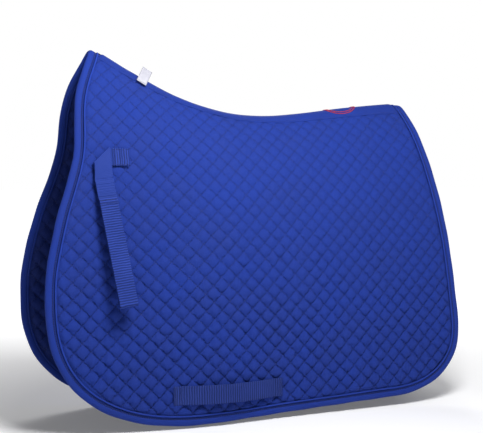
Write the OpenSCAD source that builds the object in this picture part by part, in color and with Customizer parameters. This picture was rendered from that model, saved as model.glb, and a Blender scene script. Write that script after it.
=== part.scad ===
// Quilted saddle pad: two padded flaps joined along a shaped spine, with bound and piped
// edges, and on each side a girth keeper and a billet strap that closes with hook and loop.
// Millimetres. +X is the rear of the horse, -X the withers, -Y the near (left) side, +Z up.
// The origin is on the underside of the pad, at the lowest point of its spine.

/* [Padding] */
// Thickness of the quilted sandwich, cover to lining
pad_thick = 10; // [8:0.5:12]
// Thickness of the cotton cover and of the cotton lining
cloth_thick = 0.8; // [0.5:0.1:1.2]
// Clearance between two layers that lie on each other
layer_gap = 0.2; // [0.1:0.05:0.3]

/* [Shape of the arch] */
// Half width that the flaps tend to, low down at the withers
front_spread = 102; // [90:1:115]
// Half width that the flaps tend to, low down in the middle
middle_spread = 104; // [92:1:118]
// Half width that the flaps tend to, low down at the rear
rear_spread = 122; // [108:1:135]
// Depth over which the withers end widens
front_ease = 215; // [190:1:240]
// Depth over which the middle widens
middle_ease = 100; // [85:1:115]
// Depth over which the rear end widens
rear_ease = 187; // [165:1:210]
// Rounding of the spine
spine_round = 12; // [9:0.5:15]

/* [Edges] */
// Width of the binding, seen on the outer face
binding_w = 11.5; // [9:0.5:14]
// Thickness of the bound edge
binding_thick = 5; // [4:0.5:6]
// Diameter of the piping cord beside the binding
piping_d = 2.8; // [2:0.1:3.4]

/* [Folds] */
// Slot between the spine part and a flap
fold_gap = 5; // [4:0.5:6]

/* [Webbing] */
// Width of the webbing
web_w = 25; // [22:1:28]
// Thickness of the webbing
web_thick = 1.4; // [1:0.1:1.8]
// Free height under the middle of the girth keeper
keeper_bow = 9; // [8:0.5:11]
// Length of the billet strap, from its crease to its fold
strap_len = 168; // [150:1:185]
// Length of the tab that folds back up the strap
tab_len = 142; // [120:1:150]

/* [Hidden] */

NEAR = -1;
OFF = 1;

// Spine of the outer face, as [x, z], and the edges of the flaps, as [z, x]
spine_drop = 1.2 * pad_thick;
spine_line = [
    [-340, 108], [-300, 106], [-256, 97], [-200, 68], [-130, 35], [-60, 16],
    [0, spine_drop], [60, 17], [140, 28], [236, 38], [300, 42]
];
front_line = [[-240, -335], [-200, -333], [-130, -317], [-50, -291], [30, -283], [97, -256], [130, -240]];
rear_line = [[-290, 285], [-182, 279], [-93, 269], [-2, 252], [38, 240], [70, 232]];

// Lower corners of a flap, as quarter superellipses: centre [x, z] and half axes [x, z]
front_corner = [-130, -240];
front_axes = [205, 166];
rear_corner = [150, -290];
rear_axes = [135, 105];
corner_power = 2 / 2.4;
corner_from = 0.45;

// Straight fold line of each flap, as z at the front and a slope
fold_front_x = -290;
fold_front_z = -24;
fold_slope = -37 / 540;

// Stations where the arch is shaped, and the shape of its exponential
front_x = -270;
middle_x = -70;
rear_x = 240;
arch_power = 0.88;

// The sandwich starts inside the binding and the piping
piping_inset = binding_w + 0.3 + piping_d / 2;
panel_inset = piping_inset + piping_d / 2 + 0.5;
wadding_top = cloth_thick + layer_gap;
wadding_base = pad_thick - cloth_thick - layer_gap;
seam_gap = 0.15;

// Grid of a padded layer
columns = 22;
flap_rows = 16;
spine_rows = 6;
spine_bias = 1.9;
tape_rows = 2;
tape_layer = -1.3;
underlay_layer = pad_thick + 0.6;

// Girth keeper, between x values and about a height
keeper_front_x = -171;
keeper_rear_x = -15;
keeper_z = -364;
keeper_seam = 12;
keeper_steps = 26;

// Billet strap: its pivot on the flap, the tilt of its plane, and how it hangs in that plane
pivot_x = -242;
pivot_z = -51;
strap_lean = 14;
strap_hang = 7;
anchor_size = [24, 23];
anchor_lean = 12;
anchor_steps = 4;
sewn_layer = -2 * layer_gap;
strap_lift_off = web_thick + 1.2;
crease = [-12.5, -30.4];
hook_thick = 1.2;
tab_level = web_thick + 2 * hook_thick + 0.7;

// Care label
label_x = -187.5;
label_size = [15, 1, 23];
label_turn = 30;
label_lean = 15;
label_clear = 2.6;
label_depth = 11;

// Horseshoe emblem
emblem_x = 132;
emblem_half = [24, 15];
emblem_width = 5;
emblem_sweep = 310;
emblem_layer = -1.6;
emblem_thick = 0.7;
emblem_steps = 28;

BLUE = [0.17, 0.27, 0.63];
DEEP_BLUE = [0.12, 0.2, 0.5];
WEB_BLUE = [0.2, 0.28, 0.58];
RED = [0.85, 0.15, 0.22];
WHITE = [0.93, 0.93, 0.96];
WADDING = [0.85, 0.85, 0.82];

function lerp(a, b, t) = a + (b - a) * t;
function smooth(t) = let (s = min(max(t, 0), 1)) s * s * (3 - 2 * s);

// Smooth curve through hand-placed [position, value] points
function span_of(p, x, i = 0) = (i >= len(p) - 2 || x < p[i + 1][0]) ? i : span_of(p, x, i + 1);
function slope_of(p, i) = let (a = max(i - 1, 0), b = min(i + 1, len(p) - 1))
    (p[b][1] - p[a][1]) / (p[b][0] - p[a][0]);
function curve(p, x) = let (
        i = span_of(p, x),
        h = p[i + 1][0] - p[i][0],
        t = (x - p[i][0]) / h
    )
    p[i][1] * (2 * t * t * t - 3 * t * t + 1) + slope_of(p, i) * h * (t * t * t - 2 * t * t + t)
    + p[i + 1][1] * (3 * t * t - 2 * t * t * t) + slope_of(p, i + 1) * h * (t * t * t - t * t);

function ridge(x) = curve(spine_line, x);
function fold_z(x) = fold_front_z + (x - fold_front_x) * fold_slope;

// One value for front, middle and rear, blended along the pad
function along(front, middle, rear, x) = x < middle_x
    ? lerp(front, middle, smooth((x - front_x) / (middle_x - front_x)))
    : lerp(middle, rear, smooth((x - middle_x) / (rear_x - middle_x)));

// Half width of the outer face at a depth below the ridge
function outer_half(x, depth) = let (
        spread = along(front_spread, middle_spread, rear_spread, x),
        ease = along(front_ease, middle_ease, rear_ease, x),
        rounded = sqrt(depth * depth + 2 * spine_round * depth)
    )
    spread * (1 - exp(-pow(rounded / ease, arch_power)));

// Half width of the face that lies a layer depth inside the outer face, e below its own ridge
function layer_half(x, e, layer) =
    outer_half(x, e + 1.2 * layer * (1 - exp(-e / 30))) - layer * (1 - exp(-e / 18));
function layer_ridge(x, layer) = ridge(x) - 1.2 * layer;
function skin(x, z, layer, side, gap = 0) = let (e = max(layer_ridge(x, layer) - z, 0))
    [x, side * (gap + layer_half(x, e, layer)), z];

// Front and rear edge of a flap from the fold (t = 0) round its corner to the hem (t = 1)
function edge_point(line, corner, axes, sign, t, inset) = let (
        top_x = curve(line, fold_front_z),
        top_z = fold_z(top_x) - fold_gap / 2,
        z = lerp(top_z, corner[1], t / corner_from),
        a = 90 * (t - corner_from) / (1 - corner_from)
    )
    t <= corner_from
        ? [curve(line, z) - sign * inset, z]
        : [corner[0] + sign * (axes[0] - inset) * pow(cos(a), corner_power),
           corner[1] - (axes[1] - inset) * pow(sin(a), corner_power)];
function front_edge(t, inset) = edge_point(front_line, front_corner, front_axes, -1, t, inset);
function rear_edge(t, inset) = edge_point(rear_line, rear_corner, rear_axes, 1, t, inset);

// Edge of the spine part, from the ridge (g = 0) down to the fold (g = 1)
function spine_z(x, g, layer) = lerp(layer_ridge(x, layer), fold_z(x) + fold_gap / 2, g);
function spine_edge_x(line, sign, g, inset) = let (
        x1 = curve(line, spine_z(curve(line, 0), g, 0)),
        x2 = curve(line, spine_z(x1, g, 0))
    )
    curve(line, spine_z(x2, g, 0)) - sign * inset;

// Solid between an outer and an inner grid of points, given as rows of equal length
module slab(outer, inner, side) {
    rows = len(outer);
    cols = len(outer[0]);
    n = rows * cols;
    points = concat([for (r = outer) each r], [for (r = inner) each r]);
    cells = [for (j = [0:rows - 2], i = [0:cols - 2]) j * cols + i];
    rim = concat(
        [for (i = [0:cols - 2]) [i, i + 1]],
        [for (j = [0:rows - 2]) [(j + 1) * cols - 1, (j + 2) * cols - 1]],
        [for (i = [cols - 1:-1:1]) [(rows - 1) * cols + i, (rows - 1) * cols + i - 1]],
        [for (j = [rows - 1:-1:1]) [j * cols, (j - 1) * cols]]
    );
    faces = concat(
        [for (a = cells) each [[a, a + 1, a + cols + 1], [a, a + cols + 1, a + cols]]],
        [for (a = cells) each [[n + a, n + a + cols + 1, n + a + 1], [n + a, n + a + cols, n + a + cols + 1]]],
        [for (e = rim) each [[e[0], n + e[0], n + e[1]], [e[0], n + e[1], e[1]]]]
    );
    polyhedron(points, side == NEAR ? faces : [for (f = faces) [f[0], f[2], f[1]]]);
}

// Solid through a row of equal convex sections
module sweep(sections, flip = false) {
    k = len(sections[0]);
    last = (len(sections) - 1) * k;
    points = [for (s = sections) each s];
    faces = concat(
        [[for (i = [0:k - 1]) i]],
        [[for (i = [k - 1:-1:0]) last + i]],
        [for (j = [0:len(sections) - 2], i = [0:k - 1]) let (a = j * k + i, b = j * k + (i + 1) % k)
            each [[a, a + k, b], [b, a + k, b + k]]]
    );
    polyhedron(points, flip ? [for (f = faces) [for (i = [len(f) - 1:-1:0]) f[i]]] : faces);
}

// Padded layers of a flap and of the spine part
module flap_layer(side, top, base) {
    grid = [for (j = [0:flap_rows]) let (
            a = front_edge(j / flap_rows, panel_inset),
            b = rear_edge(j / flap_rows, panel_inset)
        ) [for (i = [0:columns]) lerp(a, b, i / columns)]];
    slab(
        [for (r = grid) [for (p = r) skin(p[0], p[1], top, side)]],
        [for (r = grid) [for (p = r) skin(p[0], p[1], base, side)]],
        side
    );
}

// One row of points of the spine part; row 0 is on the ridge and the last is at the fold
function spine_row(j, side, layer, gap = 0) = let (
        g = pow(j / spine_rows, spine_bias),
        a = spine_edge_x(front_line, -1, g, panel_inset),
        b = spine_edge_x(rear_line, 1, g, panel_inset)
    ) [for (i = [0:columns]) let (x = lerp(a, b, i / columns))
        skin(x, spine_z(x, g, layer), layer, side, gap)];
function spine_face(side, layer) = [for (j = [0:spine_rows]) spine_row(j, side, layer, seam_gap)];

module spine_layer(side, top, base) {
    slab(spine_face(side, top), spine_face(side, base), side);
}

// Section of the binding and of the piping, as [inset from the edge, layer depth]
mid_layer = pad_thick / 2;
binding_section = [
    [0, mid_layer], [2.5, mid_layer - binding_thick / 2], [binding_w, mid_layer - binding_thick / 2],
    [binding_w, mid_layer + binding_thick / 2], [2.5, mid_layer + binding_thick / 2]
];
piping_section = [for (a = [0:45:315])
    [piping_inset - piping_d / 2 * cos(a), piping_d / 2 + 0.2 - piping_d / 2 * sin(a)]];

module flap_edging(side, section) {
    steps = 26;
    front = [for (j = [0:steps]) [for (s = section) let (p = front_edge(j / steps, s[0]))
        skin(p[0], p[1], s[1], side)]];
    rear = [for (j = [steps:-1:0]) [for (s = section) let (p = rear_edge(j / steps, s[0]))
        skin(p[0], p[1], s[1], side)]];
    sweep(concat(front, rear), side == OFF);
}

// Edging that crosses the spine from one fold to the other; sign is -1 in front and 1 behind
module spine_edging(line, sign, section) {
    steps = 9;
    sweep([for (k = [-steps:steps]) let (g = pow(abs(k) / steps, 1.6), side = k < 0 ? NEAR : OFF)
        [for (s = section) let (x = spine_edge_x(line, sign, g, s[0]))
            skin(x, spine_z(x, g, s[1]), s[1], side)]], sign < 0);
}

// Strip that lies over the ridge, or under it, and reaches the same rows as the panels
module ridge_strip(top, base) {
    function face(layer) = [for (k = [-tape_rows:tape_rows])
        spine_row(abs(k), k < 0 ? NEAR : OFF, layer)];
    slab(face(top), face(base), OFF);
}

// Depth below the ridge at a distance s from it, measured across the strip
function depth_at(x, s, low = 0, high = 40, n = 14) = let (mid = (low + high) / 2)
    n == 0 ? mid
    : norm([outer_half(x, mid), mid]) < s
        ? depth_at(x, s, mid, high, n - 1)
        : depth_at(x, s, low, mid, n - 1);
function on_spine(x, s, layer) =
    skin(x, layer_ridge(x, layer) - depth_at(x, abs(s)), layer, s < 0 ? NEAR : OFF);

// Horseshoe with its arch on the near side and its two heels just over the ridge
module horseshoe() {
    sweep([for (k = [0:emblem_steps]) let (
            a = 270 + emblem_sweep * (k / emblem_steps - 0.5),
            c = cos(a),
            s = sin(a),
            grow = emblem_width / 2
        ) [
            on_spine(emblem_x + (emblem_half[0] - grow) * c, (emblem_half[1] - grow) * s, emblem_layer - emblem_thick),
            on_spine(emblem_x + (emblem_half[0] + grow) * c, (emblem_half[1] + grow) * s, emblem_layer - emblem_thick),
            on_spine(emblem_x + (emblem_half[0] + grow) * c, (emblem_half[1] + grow) * s, emblem_layer),
            on_spine(emblem_x + (emblem_half[0] - grow) * c, (emblem_half[1] - grow) * s, emblem_layer)
        ]]);
}

// Girth keeper: webbing sewn down at both ends and standing clear between them
function keeper_rise(x) = let (
        s = (x - keeper_front_x - keeper_seam) / (keeper_rear_x - keeper_front_x - 2 * keeper_seam),
        t = min(max(s, 0), 1)
    ) keeper_bow * 4 * t * (1 - t);

module girth_keeper(side) {
    sweep([for (k = [0:keeper_steps]) let (
            x = lerp(keeper_front_x, keeper_rear_x, k / keeper_steps),
            base = sewn_layer - keeper_rise(x)
        ) [
            skin(x, keeper_z - web_w / 2, base, side),
            skin(x, keeper_z + web_w / 2, base, side),
            skin(x, keeper_z + web_w / 2, base - web_thick, side),
            skin(x, keeper_z - web_w / 2, base - web_thick, side)
        ]], side == NEAR);
}

// Rows of thread across each sewn end of the keeper
module keeper_stitching(side) {
    for (x = [keeper_front_x + 3, keeper_front_x + 9, keeper_rear_x - 9, keeper_rear_x - 3]) {
        for (z = [-9:6:9]) {
            p = skin(x, keeper_z + z, sewn_layer - web_thick - 0.1, side);
            translate([p[0] - 0.6, p[1] + (side == NEAR ? -0.6 : 0), p[2] - 2])
                cube([1.2, 0.6, 4]);
        }
    }
}

// Plane of the billet strap, with its origin at the pivot: X to the rear, Y up, Z outward
module on_strap(side) {
    pivot = skin(pivot_x, pivot_z, 0, NEAR);
    mirror([0, side == NEAR ? 0 : 1, 0])
        translate(pivot)
            rotate([90 - strap_lean, 0, 0])
                children();
}

// The strap below its crease, with its origin on the crease
module on_run(side) {
    on_strap(side)
        translate([crease[0], crease[1], strap_lift_off])
            rotate([0, 0, strap_hang])
                children();
}

// Sewn end of the strap, which follows the face of the flap
module billet_anchor(side) {
    function face(layer) = [for (j = [0:anchor_steps]) [for (i = [0:anchor_steps]) skin(
        pivot_x + 0.5 + anchor_size[0] * i / anchor_steps,
        pivot_z + anchor_size[1] * (0.5 - j / anchor_steps), layer, side)]];
    slab(face(sewn_layer - web_thick), face(sewn_layer), side);
}

module anchor_stitching(side) {
    for (row = [0:4]) {
        p = skin(pivot_x + 4 + row * 4.4, pivot_z, sewn_layer - web_thick - 0.2, NEAR);
        mirror([0, side == NEAR ? 0 : 1, 0])
            translate(p)
                rotate([90 - anchor_lean, 0, 0])
                    translate([-0.5, 2 - anchor_size[1] / 2, 0])
                        cube([1, anchor_size[1] - 4, 0.3]);
    }
}

module strap_turn(side) {
    on_strap(side)
        translate([0, 0, strap_lift_off])
            linear_extrude(web_thick)
                polygon([[-1.4, 11.5], [-24, -9.5], [-24.7, -31.9], [-0.3, -28.7], [-1.4, -11]]);
}

module strap_run(side) {
    on_run(side)
        translate([-web_w / 2, -strap_len, 0])
            cube([web_w, strap_len - 1.2, web_thick]);
}

module loop_tape(side) {
    on_run(side)
        translate([-web_w / 2 + 1, -strap_len + 28, web_thick + 0.1])
            cube([web_w - 2, 105, hook_thick]);
}

module hook_tape(side) {
    on_run(side)
        translate([-web_w / 2 + 1, -strap_len + 70, tab_level - 0.1 - hook_thick])
            cube([web_w - 2, tab_len - 74, hook_thick]);
}

module strap_tab(side) {
    on_run(side)
        translate([-web_w / 2, -strap_len, tab_level])
            cube([web_w, tab_len, web_thick]);
}

module label_tab() {
    base = skin(label_x, ridge(label_x) - label_depth, 0, NEAR);
    translate([base[0], base[1] - label_clear, base[2]])
        rotate([0, label_turn, 0])
            rotate([-label_lean, 0, 0])
                translate([-label_size[0] / 2, -label_size[1] / 2, 0.4])
                    cube(label_size);
}

module near_cover_upper() { color(BLUE) spine_layer(NEAR, 0, cloth_thick); }
module near_wadding_upper() { color(WADDING) spine_layer(NEAR, wadding_top, wadding_base); }
module near_lining_upper() { color(DEEP_BLUE) spine_layer(NEAR, pad_thick - cloth_thick, pad_thick); }
module off_cover_upper() { color(BLUE) spine_layer(OFF, 0, cloth_thick); }
module off_wadding_upper() { color(WADDING) spine_layer(OFF, wadding_top, wadding_base); }
module off_lining_upper() { color(DEEP_BLUE) spine_layer(OFF, pad_thick - cloth_thick, pad_thick); }
module spine_tape() { color(BLUE) ridge_strip(tape_layer, tape_layer + cloth_thick); }
module spine_underlay() { color(DEEP_BLUE) ridge_strip(underlay_layer, underlay_layer + cloth_thick); }
module spine_emblem() { color(RED) horseshoe(); }
module care_label() { color(WHITE) label_tab(); }
module front_binding_arch() { color(BLUE) spine_edging(front_line, -1, binding_section); }
module rear_binding_arch() { color(BLUE) spine_edging(rear_line, 1, binding_section); }
module front_piping_arch() { color(BLUE) spine_edging(front_line, -1, piping_section); }
module rear_piping_arch() { color(BLUE) spine_edging(rear_line, 1, piping_section); }
module near_cover() { color(BLUE) flap_layer(NEAR, 0, cloth_thick); }
module near_wadding() { color(WADDING) flap_layer(NEAR, wadding_top, wadding_base); }
module near_lining() { color(DEEP_BLUE) flap_layer(NEAR, pad_thick - cloth_thick, pad_thick); }
module near_binding() { color(BLUE) flap_edging(NEAR, binding_section); }
module near_piping() { color(BLUE) flap_edging(NEAR, piping_section); }
module near_girth_keeper() { color(WEB_BLUE) girth_keeper(NEAR); }
module near_keeper_stitching() { color(DEEP_BLUE) keeper_stitching(NEAR); }
module near_billet_anchor() { color(WEB_BLUE) billet_anchor(NEAR); }
module near_anchor_stitching() { color(DEEP_BLUE) anchor_stitching(NEAR); }
module near_strap_turn() { color(WEB_BLUE) strap_turn(NEAR); }
module near_strap_run() { color(WEB_BLUE) strap_run(NEAR); }
module near_loop_tape() { color(DEEP_BLUE) loop_tape(NEAR); }
module near_strap_tab() { color(WEB_BLUE) strap_tab(NEAR); }
module near_hook_tape() { color(DEEP_BLUE) hook_tape(NEAR); }
module off_cover() { color(BLUE) flap_layer(OFF, 0, cloth_thick); }
module off_wadding() { color(WADDING) flap_layer(OFF, wadding_top, wadding_base); }
module off_lining() { color(DEEP_BLUE) flap_layer(OFF, pad_thick - cloth_thick, pad_thick); }
module off_binding() { color(BLUE) flap_edging(OFF, binding_section); }
module off_piping() { color(BLUE) flap_edging(OFF, piping_section); }
module off_girth_keeper() { color(WEB_BLUE) girth_keeper(OFF); }
module off_keeper_stitching() { color(DEEP_BLUE) keeper_stitching(OFF); }
module off_billet_anchor() { color(WEB_BLUE) billet_anchor(OFF); }
module off_anchor_stitching() { color(DEEP_BLUE) anchor_stitching(OFF); }
module off_strap_turn() { color(WEB_BLUE) strap_turn(OFF); }
module off_strap_run() { color(WEB_BLUE) strap_run(OFF); }
module off_loop_tape() { color(DEEP_BLUE) loop_tape(OFF); }
module off_strap_tab() { color(WEB_BLUE) strap_tab(OFF); }
module off_hook_tape() { color(DEEP_BLUE) hook_tape(OFF); }

near_cover_upper();
near_wadding_upper();
near_lining_upper();
off_cover_upper();
off_wadding_upper();
off_lining_upper();
spine_tape();
spine_underlay();
spine_emblem();
care_label();
front_binding_arch();
rear_binding_arch();
front_piping_arch();
rear_piping_arch();
near_cover();
near_wadding();
near_lining();
near_binding();
near_piping();
near_girth_keeper();
near_keeper_stitching();
near_billet_anchor();
near_anchor_stitching();
near_strap_turn();
near_strap_run();
near_loop_tape();
near_strap_tab();
near_hook_tape();
off_cover();
off_wadding();
off_lining();
off_binding();
off_piping();
off_girth_keeper();
off_keeper_stitching();
off_billet_anchor();
off_anchor_stitching();
off_strap_turn();
off_strap_run();
off_loop_tape();
off_strap_tab();
off_hook_tape();
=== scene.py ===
import math

import bmesh
import bpy
import numpy as np
from mathutils import Matrix, Vector


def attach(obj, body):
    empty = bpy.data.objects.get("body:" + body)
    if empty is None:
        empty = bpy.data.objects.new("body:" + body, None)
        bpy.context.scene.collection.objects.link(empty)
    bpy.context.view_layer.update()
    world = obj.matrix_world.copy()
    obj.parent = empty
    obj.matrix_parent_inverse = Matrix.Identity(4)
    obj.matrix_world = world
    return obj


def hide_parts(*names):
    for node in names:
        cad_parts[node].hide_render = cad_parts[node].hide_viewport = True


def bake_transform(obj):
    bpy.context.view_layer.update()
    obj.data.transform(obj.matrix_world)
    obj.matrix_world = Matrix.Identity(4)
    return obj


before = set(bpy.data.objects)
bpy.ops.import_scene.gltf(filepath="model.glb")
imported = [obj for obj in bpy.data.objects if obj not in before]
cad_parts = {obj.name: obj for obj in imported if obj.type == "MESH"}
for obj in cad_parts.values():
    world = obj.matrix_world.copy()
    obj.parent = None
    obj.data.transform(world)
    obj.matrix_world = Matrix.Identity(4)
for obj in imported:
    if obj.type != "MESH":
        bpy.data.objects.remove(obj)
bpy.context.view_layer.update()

MM = 0.001
NEAR, OFF = -1, 1
SIDES = (("near", NEAR), ("off", OFF))
scene = bpy.context.scene
rng = np.random.RandomState(7)


def linked(name, data):
    """New object in the scene."""
    o = bpy.data.objects.new(name, data)
    scene.collection.objects.link(o)
    return o


# ---------------------------------------------------------------- camera

TARGET = Vector((-0.030, 0.0, -0.134))
AZIMUTH, ELEVATION, DISTANCE = math.radians(-24.6), math.radians(2.2), 1.375
back = Vector((math.sin(AZIMUTH) * math.cos(ELEVATION), -math.cos(AZIMUTH) * math.cos(ELEVATION),
               math.sin(ELEVATION)))
camera = linked("camera", bpy.data.cameras.new("camera"))
camera.data.lens, camera.data.sensor_width = 70.6, 36.0
camera.data.clip_start, camera.data.clip_end = 0.05, 50.0
camera.rotation_mode = "QUATERNION"
camera.location = TARGET + back * DISTANCE
camera.rotation_quaternion = (-back).to_track_quat("-Z", "Y")
scene.camera = camera

# ---------------------------------------------------------------- shape of the pad, in mm, as in the CAD source

SPINE_LINE = [(-340, 108), (-300, 106), (-256, 97), (-200, 68), (-130, 35), (-60, 16), (0, 12), (60, 17),
              (140, 28), (236, 38), (300, 42)]
FRONT_LINE = [(-240, -335), (-200, -333), (-130, -317), (-50, -291), (30, -283), (97, -256), (130, -240)]
REAR_LINE = [(-290, 285), (-182, 279), (-93, 269), (-2, 252), (38, 240), (70, 232)]
FRONT_CORNER, FRONT_AXES = (-130, -240), (205, 166)
REAR_CORNER, REAR_AXES = (150, -290), (135, 105)
CORNER_POWER = 2 / 2.4
SPINE_ROUND = 12
ARCH_POWER = 0.88
PAD = 10.0
DROP = 1.2  # how far a layer lies below the ridge, for each mm that it lies inside the outer face
STATIONS = (-270, -70, 240)  # X where the front, middle and rear values of a size hold
HALF_WIDTH, HALF_DEPTH = (102, 104, 122), (215, 100, 187)


def smooth(t):
    t = np.clip(t, 0, 1)
    return t * t * (3 - 2 * t)


def lerp(a, b, t):
    return a + (b - a) * t


def curve(points, x):
    p = np.array(points, float)
    x = np.asarray(x, float)
    i = np.clip(np.searchsorted(p[:, 0], x, side="right") - 1, 0, len(p) - 2)
    lo, hi = np.maximum(np.arange(len(p)) - 1, 0), np.minimum(np.arange(len(p)) + 1, len(p) - 1)
    slope = (p[hi, 1] - p[lo, 1]) / (p[hi, 0] - p[lo, 0])
    h = p[i + 1, 0] - p[i, 0]
    t = (x - p[i, 0]) / h
    return (p[i, 1] * (2 * t**3 - 3 * t**2 + 1) + slope[i] * h * (t**3 - 2 * t**2 + t)
            + p[i + 1, 1] * (3 * t**2 - 2 * t**3) + slope[i + 1] * h * (t**3 - t**2))


def ridge(x):
    return curve(SPINE_LINE, x)


def along(front, middle, rear, x):
    """A size that changes along the pad, from its values at the three stations."""
    x0, x1, x2 = STATIONS
    return np.where(x < x1, lerp(front, middle, smooth((x - x0) / (x1 - x0))),
                    lerp(middle, rear, smooth((x - x1) / (x2 - x1))))


def outer_half(x, depth):
    """Half the width of the outer face at a depth below the ridge."""
    rounded = np.sqrt(np.maximum(depth * depth + 2 * SPINE_ROUND * depth, 0))
    return along(*HALF_WIDTH, x) * (1 - np.exp(-((rounded / along(*HALF_DEPTH, x)) ** ARCH_POWER)))


def layer_half(x, e, layer):
    """Half the width of a layer at a depth e below its own ridge."""
    return outer_half(x, np.maximum(e + DROP * layer * (1 - np.exp(-e / 30)), 0)) - layer * (1 - np.exp(-e / 18))


def path_length(points):
    """Length along a line to each of its points."""
    return np.concatenate([[0], np.cumsum(np.linalg.norm(np.diff(points, axis=0), axis=1))])


# The face is unrolled: p runs along the pad and q up its sides, and both keep the cloth's real lengths.
COLUMN_STEP = 2.0
COLUMN_X = np.arange(-352.0, 312.0, COLUMN_STEP)
ZERO_Z = -200  # height where q is 0
SPAN = np.arange(0.0, 640.0, 1.0)


def unroll():
    """Depth below the ridge for each length of cloth down from it, and q of the ridge, for each column."""
    e = 620.0 * np.linspace(0, 1, 1600) ** 2
    table, level = [], []
    for x in COLUMN_X:
        y = outer_half(x, e)
        s = np.concatenate([[0], np.cumsum(np.hypot(np.diff(y), np.diff(e)))])
        table.append(np.interp(SPAN, s, e))
        level.append(np.interp(ridge(x) - ZERO_Z, e, s))
    return np.array(table), np.array(level)


DEPTH_TABLE, LEVEL = unroll()


def ridge_q(p):
    return np.interp(p, COLUMN_X, LEVEL)


def depth_of(p, s):
    """Depth below the ridge at a length of cloth s down from it."""
    a = np.clip((np.asarray(p, float) - COLUMN_X[0]) / COLUMN_STEP, 0, len(COLUMN_X) - 1.001)
    b = np.clip(s, 0, SPAN[-1] - 0.001)
    i, j = a.astype(int), b.astype(int)
    a, b = a - i, b - j
    t = DEPTH_TABLE
    return ((t[i, j] * (1 - a) + t[i + 1, j] * a) * (1 - b)
            + (t[i, j + 1] * (1 - a) + t[i + 1, j + 1] * a) * b)


def span_of(x, z):
    """Length of cloth from the ridge down to a height."""
    i = np.clip(np.round((x - COLUMN_X[0]) / COLUMN_STEP).astype(int), 0, len(COLUMN_X) - 1)
    e = ridge(x) - z
    return np.array([np.interp(d, DEPTH_TABLE[k], SPAN) for k, d in zip(i, e)])


def skin_s(p, s, layer, side):
    """Point of a layer (0 outer face, 10 inner face, below 0 outward) at p, and s down from the ridge."""
    p, s, layer = np.broadcast_arrays(np.asarray(p, float), np.asarray(s, float), np.asarray(layer, float))
    e = depth_of(p, s)
    e = e - DROP * layer * (1 - np.exp(-e / 25))
    return np.stack([p, side * layer_half(p, e, layer), ridge(p) - DROP * layer - e], -1)


def skin(p, q, layer, side):
    return skin_s(p, np.maximum(ridge_q(p) - q, 0), layer, side)


def outline():
    """Outline of one side of the pad in (p, q), from the ridge in front, round the flap, to the ridge behind."""
    z = np.linspace(97, -240, 120)
    front = np.stack([curve(FRONT_LINE, z), z], 1)
    a = np.linspace(0, math.pi / 2, 90)[1:]
    front_arc = np.stack([FRONT_CORNER[0] - FRONT_AXES[0] * np.cos(a) ** CORNER_POWER,
                          FRONT_CORNER[1] - FRONT_AXES[1] * np.sin(a) ** CORNER_POWER], 1)
    a = a[::-1]
    rear_arc = np.stack([REAR_CORNER[0] + REAR_AXES[0] * np.cos(a) ** CORNER_POWER,
                         REAR_CORNER[1] - REAR_AXES[1] * np.sin(a) ** CORNER_POWER], 1)
    z = np.linspace(-290, 38, 120)
    rear = np.stack([curve(REAR_LINE, z), z], 1)
    xz = np.concatenate([front, front_arc, rear_arc, rear])
    pq = np.stack([xz[:, 0], ridge_q(xz[:, 0]) - span_of(xz[:, 0], xz[:, 1])], 1)
    # run on past the ridge at both ends, so that insets reach it
    for end in (0, -1):
        step = pq[end] - pq[3 if end == 0 else -4]
        far = pq[end] + step / np.linalg.norm(step) * 30
        pq = np.concatenate([[far], pq]) if end == 0 else np.concatenate([pq, [far]])
    t = path_length(pq)
    n = int(t[-1] / 2)
    u = np.linspace(0, t[-1], n)
    pq = np.stack([np.interp(u, t, pq[:, 0]), np.interp(u, t, pq[:, 1])], 1)
    kernel = np.exp(-0.5 * (np.arange(-15, 16) / 5.0) ** 2)
    kernel /= kernel.sum()
    padded = np.concatenate([pq[:1] + (pq[:1] - pq[15:0:-1]), pq, pq[-1:] + (pq[-1:] - pq[-2:-17:-1])])
    return np.stack([np.convolve(padded[:, k], kernel, "valid") for k in (0, 1)], 1)


EDGE = outline()
EDGE_T = path_length(EDGE)
_d = np.gradient(EDGE, axis=0)
_d /= np.linalg.norm(_d, axis=1)[:, None]
EDGE_IN = np.stack([-_d[:, 1], _d[:, 0]], 1)  # toward the inside of the flap


def edge_at(t, inset):
    """Point (p, q) at a length along the outline, inset into the flap."""
    t, inset = np.broadcast_arrays(np.asarray(t, float), np.asarray(inset, float))
    return np.stack([np.interp(t, EDGE_T, EDGE[:, k]) + inset * np.interp(t, EDGE_T, EDGE_IN[:, k])
                     for k in (0, 1)], -1)


BATCH = 20000  # points that are measured at a time, to save memory


def edge_distance(p, q):
    """Distance inside the outline (negative outside)."""
    shape = np.shape(p)
    pts = np.stack([np.ravel(p), np.ravel(q)], 1)
    out = np.empty(len(pts))
    samples, inward = EDGE[::2], EDGE_IN[::2]
    for i in range(0, len(pts), BATCH):
        d = pts[i:i + BATCH, None, :] - samples[None]
        r2 = (d * d).sum(2)
        k = r2.argmin(1)
        row = np.arange(len(k))
        sign = np.sign((d[row, k] * inward[k]).sum(1))
        along_edge = (d[row, k] * np.stack([inward[k][:, 1], -inward[k][:, 0]], 1)).sum(1)
        along_edge = np.where(np.abs(along_edge) < 3, along_edge, 0)
        out[i:i + BATCH] = sign * np.sqrt(np.maximum(r2[row, k] - along_edge ** 2, 0))
    return out.reshape(shape)


def tape_half(p):
    """Half width of the tape on the ridge, along the cloth."""
    return curve([(-340, 15), (-256, 15.5), (-120, 18.5), (0, 20.5), (130, 22.5), (300, 24)], p)


# ---------------------------------------------------------------- mesh helpers

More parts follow.
